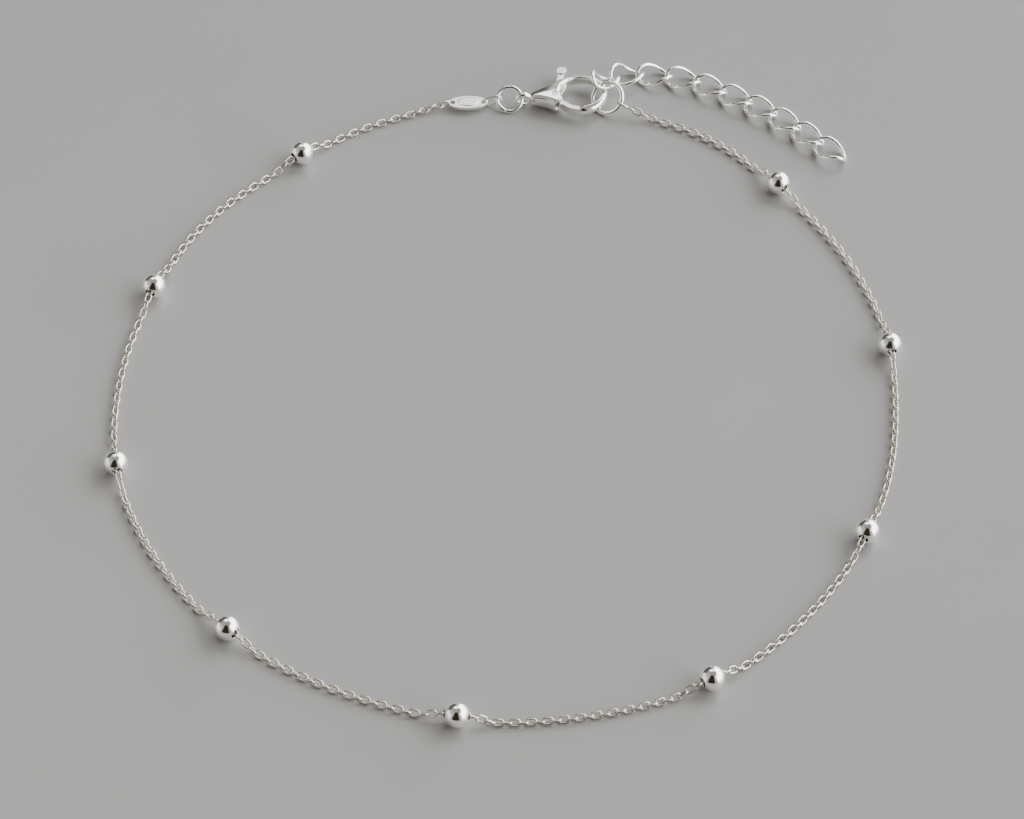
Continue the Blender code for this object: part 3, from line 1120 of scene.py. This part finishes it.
    def gap_cutter(self) -> Object:
        """Make the wedge that leaves room for the gate.

        Returns:
            The cutter.
        """
        cutter = self.round_bar(self.gap_radius, 2.0 * self.drill_length, (0.0, 0.0, 0.0))
        face, ray = math.radians(self.hook_face_angle), math.radians(self.body_cut_angle)
        planes = (
            ((*self.hook_face, 0.0), (math.sin(face), -math.cos(face), 0.0)),
            ((0.0, 0.0, 0.0), (math.sin(ray), -math.cos(ray), 0.0)),
            ((self.gap_end, 0.0, 0.0), (1.0, 0.0, 0.0)),
        )
        for place, normal in planes:
            with editing(cutter, Pick.FACES, whole=True):
                bpy.ops.mesh.bisect(plane_co=place, plane_no=normal, use_fill=True,
                                    clear_outer=True)
        face_outward(cutter)
        return cutter

    def block(self, low: Point, high: Point) -> Object:
        """Make a plain cutting block between two corners.

        Args:
            low: the corner with the lowest x, y and z.
            high: the opposite corner.

        Returns:
            The block.
        """
        clear_selection()
        middle = [(a + b) / 2.0 for a, b in zip(low, high)]
        bpy.ops.mesh.primitive_cube_add(size=1.0, location=middle,
                                        scale=[b - a for a, b in zip(low, high)])
        return bake(bpy.context.object)

    def round_bar(self, radius: float, depth: float, place: Point,
                  upright: bool = True) -> Object:
        """Make a round bar for a hole, a hub or the thumb tab.

        Args:
            radius: its radius.
            depth: its whole length.
            place: its middle.
            upright: along z, or else along y.

        Returns:
            The bar.
        """
        clear_selection()
        turn = 0.0 if upright else math.pi / 2.0
        bpy.ops.mesh.primitive_cylinder_add(vertices=ROUND_SIDES, radius=radius, depth=depth,
                                            location=place, rotation=(turn, 0.0, 0.0))
        return bake(bpy.context.object)

    def bar_between(self, start: Plan, end: Plan, width: float) -> Object:
        """Make a straight flat bar of the lever between two plan points.

        Args:
            start: one end.
            end: the other end.
            width: its width.

        Returns:
            The bar.
        """
        x, y = end[0] - start[0], end[1] - start[1]
        middle = ((start[0] + end[0]) / 2.0, (start[1] + end[1]) / 2.0, 0.0)
        clear_selection()
        bpy.ops.mesh.primitive_cube_add(
            size=1.0, location=middle, rotation=(0.0, 0.0, math.atan2(y, x)),
            scale=(math.hypot(x, y), width, 2.0 * self.lever_half))
        return bake(bpy.context.object)

    def swept(self, radii: Span, span: Span, half: float) -> Object:
        """Spin an upright strip about the hook ring's centre.

        Args:
            radii: the strip's inner and outer radius.
            span: the first and last angle, in degrees.
            half: half the strip's height.

        Returns:
            The curved bar.
        """
        clear_selection()
        bpy.ops.mesh.primitive_plane_add(size=1.0, rotation=(math.pi / 2.0, 0.0, 0.0))
        bar = bake(bpy.context.object)
        with editing(bar, Pick.FACES, whole=True):
            bpy.ops.transform.resize(value=(radii[1] - radii[0], 1.0, 2.0 * half))
            bpy.ops.transform.translate(value=((radii[0] + radii[1]) / 2.0, 0.0, 0.0))
            bpy.ops.mesh.spin(steps=self.sweep_steps, angle=math.radians(span[0] - span[1]),
                              center=(0.0, 0.0, 0.0), axis=(0.0, 0.0, 1.0))
        bar.rotation_euler = (0.0, 0.0, math.radians(span[0]))
        bake(bar)
        face_outward(bar, WELD)
        return bar

    def build_body(self, silver: Handover) -> None:
        """Cut the blank, join the eye and tumble the casting.

        Args:
            silver: what the body is given.
        """
        body = self.blank()
        x, y = self.pin
        half = self.slot_half
        cut(body, self.opening_cutter())
        cut(body, self.gap_cutter())
        cut(body, self.block((x - self.hub_room[0], y - self.hub_room[1], -half),
                             (self.slot_end, self.slot_reach, half)))
        cut(body, self.block((x - self.gate_room, -self.slot_reach, -half),
                             (self.slot_end, y, half)))
        cut(body, self.round_bar(self.body_hole, 2.0 * self.drill_length, (x, y, 0.0)))
        body = self.add_eye(body)
        cast(body, self.grain, FIRST_TUMBLE)
        cut(body, self.round_bar(self.spring_hole_radius, self.drill_length,
                                 (*self.spring_hole, 0.0), upright=False))
        cast(body, self.grain, LAST_TUMBLE)
        silver.give(seat(body, "clasp_hook_and_body", self.matrix()), "clasp_body")

    def build_lever(self, sprung: Handover) -> None:
        """Join the hub, the gate and the thumb tab, and tumble the lever.

        Args:
            sprung: what the lever is given.
        """
        hub_place = (*self.pin, 0.0)
        gate = self.swept(self.gate, self.gate_span, self.gate_half)
        face = math.radians(self.hook_face_angle)
        x, y = -math.sin(face), math.cos(face)
        place = (self.hook_face[0] + x * self.tip_gap, self.hook_face[1] + y * self.tip_gap, 0.0)
        with editing(gate, Pick.FACES, whole=True):
            bpy.ops.mesh.bisect(plane_co=place, plane_no=(x, y, 0.0), use_fill=True,
                                clear_inner=True)
        lever = join([
            gate,
            self.swept(self.arm, self.arm_span, self.lever_half),
            self.round_bar(self.hub, 2.0 * self.lever_half, hub_place),
            self.bar_between(self.pin, self.gate_root, self.root_width),
            self.bar_between(self.pin, self.thumb, 2.0 * self.thumb_arm),
            self.round_bar(self.thumb_radius, 2.0 * self.gate_half, (*self.thumb, 0.0)),
        ])
        cast(lever, self.lever_grain, FIRST_TUMBLE)
        cut(lever, self.round_bar(self.hub_hole, self.drill_length, hub_place))
        cast(lever, self.lever_grain, LAST_TUMBLE)
        sprung.give(seat(lever, "clasp_gate_and_thumb", self.matrix()), "clasp_lever")

    def build_pin(self, soft: Handover) -> None:
        """Make the rivet with softly rounded ends.

        Args:
            soft: what the rivet is given.
        """
        pin = self.round_bar(self.pin_radius, 2.0 * self.pin_half, (*self.pin, 0.0))
        with editing(pin, Pick.EDGES):
            select(Pick.EDGES, lambda place: abs(place.z) > self.pin_half - WELD)
            bpy.ops.mesh.bevel(offset=self.pin_rounding, segments=RIM_STEPS, affect="EDGES")
        smooth(pin, self.pin_sharp_angle)
        soft.give(seat(pin, "clasp_rivet", self.matrix()), "clasp_pin")

    def build(self, silver: Handover, soft: Handover, sprung: Handover) -> None:
        """Build the clasp's three pieces.

        Args:
            silver: what the body is given.
            soft: what the rivet is given.
            sprung: what the lever is given.
        """
        self.build_body(silver)
        self.build_lever(sprung)
        self.build_pin(soft)


@dataclass(frozen=True)
class Panel:
    """One soft-edged area of the studio's surround, by bearing and height in degrees."""

    bearing: Span
    rise: Span
    tone: Tone
    soft: float

    def band(self, tree: NodeTree, value: NodeSocket, span: Span) -> NodeSocket:
        """Return one between two angles and nought outside, with soft edges.

        Args:
            tree: the node tree.
            value: the angle in radians.
            span: the two angles in degrees.

        Returns:
            The mask.
        """
        edges = []
        for angle, low, high in ((span[0], 0.0, 1.0), (span[1], 1.0, 0.0)):
            edges.append(add_node(tree, "ShaderNodeMapRange", {
                "Value": value, "From Min": math.radians(angle - self.soft),
                "From Max": math.radians(angle + self.soft), "To Min": low, "To Max": high,
            }, interpolation_type="SMOOTHSTEP")["Result"])
        return calculate(tree, "MULTIPLY", *edges)

    def mask(self, tree: NodeTree, bearing: NodeSocket, rise: NodeSocket,
             middle: float) -> NodeSocket:
        """Return how much of the panel shows in each direction.

        Args:
            tree: the node tree.
            bearing: the direction's bearing in radians, from the middle one.
            rise: its height in radians.
            middle: the middle bearing in degrees.

        Returns:
            The mask.
        """
        turned_span = (self.bearing[0] - middle, self.bearing[1] - middle)
        return calculate(tree, "MULTIPLY", self.band(tree, bearing, turned_span),
                         self.band(tree, rise, self.rise))


@dataclass(frozen=True)
class StudioAir:
    """The surround that the silver mirrors: a big window of light, dim walls and dark gaps.

    A bearing of 0 is to the right of the picture and 90 behind the anklet; it runs from
    -54 to 306, so that no panel but the ceiling crosses its seam.
    """

    walls: Tone = (0.62, 0.615, 0.60)
    backdrop: Tone = (0.80, 0.80, 0.80)
    fill: Tone = (0.112, 0.086, 0.046)
    middle_bearing: float = 126.0
    panels: tuple[Panel, ...] = (
        # the ceiling
        Panel((-60.0, 330.0), (52.0, 95.0), (0.38, 0.372, 0.36), 8.0),
        # the dim back wall
        Panel((97.0, 160.0), (-10.0, 42.0), (0.12, 0.118, 0.115), 6.0),
        # the dark side that the picture is taken from
        Panel((226.0, 292.0), (-10.0, 76.0), (0.034, 0.026, 0.018), 8.0),
        # the window
        Panel((-42.0, 76.0), (2.0, 54.0), (6.0, 6.0, 6.0), 8.0),
        # the light strip high at the back
        Panel((80.0, 122.0), (44.0, 66.0), (3.2, 3.2, 3.2), 4.0),
        # the pale wall on the left
        Panel((152.0, 208.0), (-2.0, 25.0), (1.7, 1.66, 1.6), 5.0),
    )

    def build(self) -> None:
        """Paint the panels over the walls, with plain tones for the camera and fill light."""
        world = bpy.data.worlds.new("studio_air")
        bpy.context.scene.world = world
        world.use_nodes = True
        tree = world.node_tree
        way = add_node(tree, "ShaderNodeTexCoord")["Generated"]
        centred = add_node(tree, "ShaderNodeVectorRotate", {
            "Vector": way, "Angle": -math.radians(self.middle_bearing)},
            rotation_type="Z_AXIS")["Vector"]
        parts = add_node(tree, "ShaderNodeSeparateXYZ", {"Vector": centred})
        rise = calculate(tree, "ARCSINE", parts["Z"])
        bearing = calculate(tree, "ARCTAN2", parts["Y"], parts["X"])
        colour = (*self.walls, 1.0)
        for panel in self.panels:
            mask = panel.mask(tree, bearing, rise, self.middle_bearing)
            colour = mix(tree, mask, colour, (*panel.tone, 1.0))
        mirrored = tree.nodes["Background"]
        wire_up(tree, mirrored, {"Color": colour})
        shown = mirrored.outputs["Background"]
        rays = add_node(tree, "ShaderNodeLightPath")
        for ray, tone in (("Is Camera Ray", self.backdrop), ("Is Diffuse Ray", self.fill)):
            plain = add_node(tree, "ShaderNodeBackground", {"Color": (*tone, 1.0)})["Background"]
            inputs = {"Fac": rays[ray], 1: shown, 2: plain}
            shown = add_node(tree, "ShaderNodeMixShader", inputs)["Shader"]
        wire_up(tree, tree.nodes["World Output"], {"Surface": shown})


@dataclass(frozen=True)
class Softbox:
    """One square soft light that the silver doesn't mirror, in metres and watts."""

    name: str
    place: Point
    size: float
    power: float
    tint: Tone

    def hang(self) -> None:
        """Add the light and aim it at the anklet."""
        data = bpy.data.lights.new(self.name, "AREA")
        data.shape = "SQUARE"
        data.size = self.size
        data.energy = self.power
        data.color = self.tint
        light = bpy.data.objects.new(self.name, data)
        bpy.context.scene.collection.objects.link(light)
        light.location = self.place
        light.rotation_euler = (-Vector(self.place)).to_track_quat("-Z", "Y").to_euler()
        light.visible_glossy = False


@dataclass
class Studio:
    """Pale floor, soft lights and the camera at the picture's angle."""

    air: StudioAir = field(default_factory=StudioAir)
    stone: StoneFinish = field(default_factory=StoneFinish)
    softboxes: tuple[Softbox, ...] = (
        Softbox("window_light", (0.50, 0.42, 0.52), 0.40, 1.8, (0.850, 0.908, 1.0)),
        Softbox("room_light", (0.05, 0.30, 1.1), 1.6, 0.60, (1.0, 0.915, 0.76)),
    )
    focal_pixels: float = 3900.0
    picture_width: float = 1024.0
    sensor: float = 36.0
    clip: Span = (0.01, 20.0)
    look_down: float = 48.5
    eye: Point = (0.4, -272.6, 302.65)
    floor_half: float = 1.5
    floor_drop: float = 2e-5

    def set_camera(self) -> None:
        """Place the camera as the picture was taken."""
        data = bpy.data.cameras.new("picture_camera")
        data.sensor_fit = "HORIZONTAL"
        data.sensor_width = self.sensor
        data.lens = self.focal_pixels * self.sensor / self.picture_width
        data.clip_start, data.clip_end = self.clip
        camera = bpy.data.objects.new("picture_camera", data)
        bpy.context.scene.collection.objects.link(camera)
        camera.location = (Vector(self.eye) + FRAME_SHIFT) * MM
        camera.rotation_euler = (math.radians(90.0 - self.look_down), 0.0, 0.0)
        bpy.context.scene.camera = camera

    def lay_floor(self) -> None:
        """Lay a plain pale floor with a soft sheen."""
        clear_selection()
        bpy.ops.mesh.primitive_plane_add(size=2.0 * self.floor_half,
                                         location=(0.0, 0.0, -self.floor_drop))
        floor = bake(bpy.context.object)
        floor.name = "studio_floor"
        floor.data.materials.append(self.stone.material())

    def build(self) -> None:
        """Set the camera, the floor, the silver's surround and the lights."""
        self.set_camera()
        self.lay_floor()
        self.air.build()
        for softbox in self.softboxes:
            softbox.hang()


POLISHED_SILVER = SilverFinish(
    "silver_polished", tint=(0.94, 0.932, 0.915), dull=(0.84, 0.825, 0.79),
    roughness=(0.035, 0.09), clouding=0.9, scratch_depth=0.10, dullness=0.35)
SOFT_SILVER = SilverFinish(
    "silver_soft", tint=(0.86, 0.855, 0.84), dull=(0.72, 0.70, 0.66),
    roughness=(0.16, 0.30), clouding=1.4, scratch_depth=0.25, dullness=0.5)
# the chain's silver: a darker, browner copy of the polished silver, painted shade standing in for
# the brown shade among the fine links
CHAIN_SILVER_PAINTED_SHADE = SilverFinish(
    "silver_chain_painted_shade", tint=(0.66, 0.615, 0.545), dull=(0.47, 0.425, 0.36),
    roughness=(0.10, 0.20), clouding=1.2, scratch_depth=0.15, dullness=0.5)


def main() -> None:
    """Build the studio and then every piece of the anklet."""
    logging.basicConfig(level=logging.INFO, format="%(message)s")
    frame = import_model()
    polished, soft_metal = POLISHED_SILVER.material(), SOFT_SILVER.material()
    for name, node in frame["nodes"].items():
        for material_slot in node.material_slots:
            material_slot.material = soft_metal if name in SOFT_NODES else polished
    silver = Handover(Slot.POLISHED, polished)
    # the chain takes the darker copy of the polished silver, with its painted shade
    wire = Handover(Slot.POLISHED, CHAIN_SILVER_PAINTED_SHADE.material())
    soft = Handover(Slot.SOFT, soft_metal)
    sprung = Handover(Slot.SOFT, soft_metal, Body.LEVER)

    Studio().build()
    route = Route()
    end_ring = JumpRing("end_ring_wire", (11.00, 40.04, 1.47), (40.3, -20.5, -12.8),
                        radius=1.75, wire=0.245, joint_angle=75.0)
    clasp_ring = JumpRing("clasp_ring_wire", (0.14, 40.29, 1.02), (36.0, 0.0, 0.0),
                          radius=1.36, wire=0.21, joint_angle=250.0)
    Beads().build(route, silver)
    TraceChain().build(route, end_ring, wire)
    Tag().build(soft)
    TagLink().build(silver)
    clasp_ring.build("clasp_ring", silver)
    end_ring.build("end_ring", silver)
    Clasp().build(silver, soft, sprung)
    Extender().build(silver)


if __name__ == "__main__":
    main()
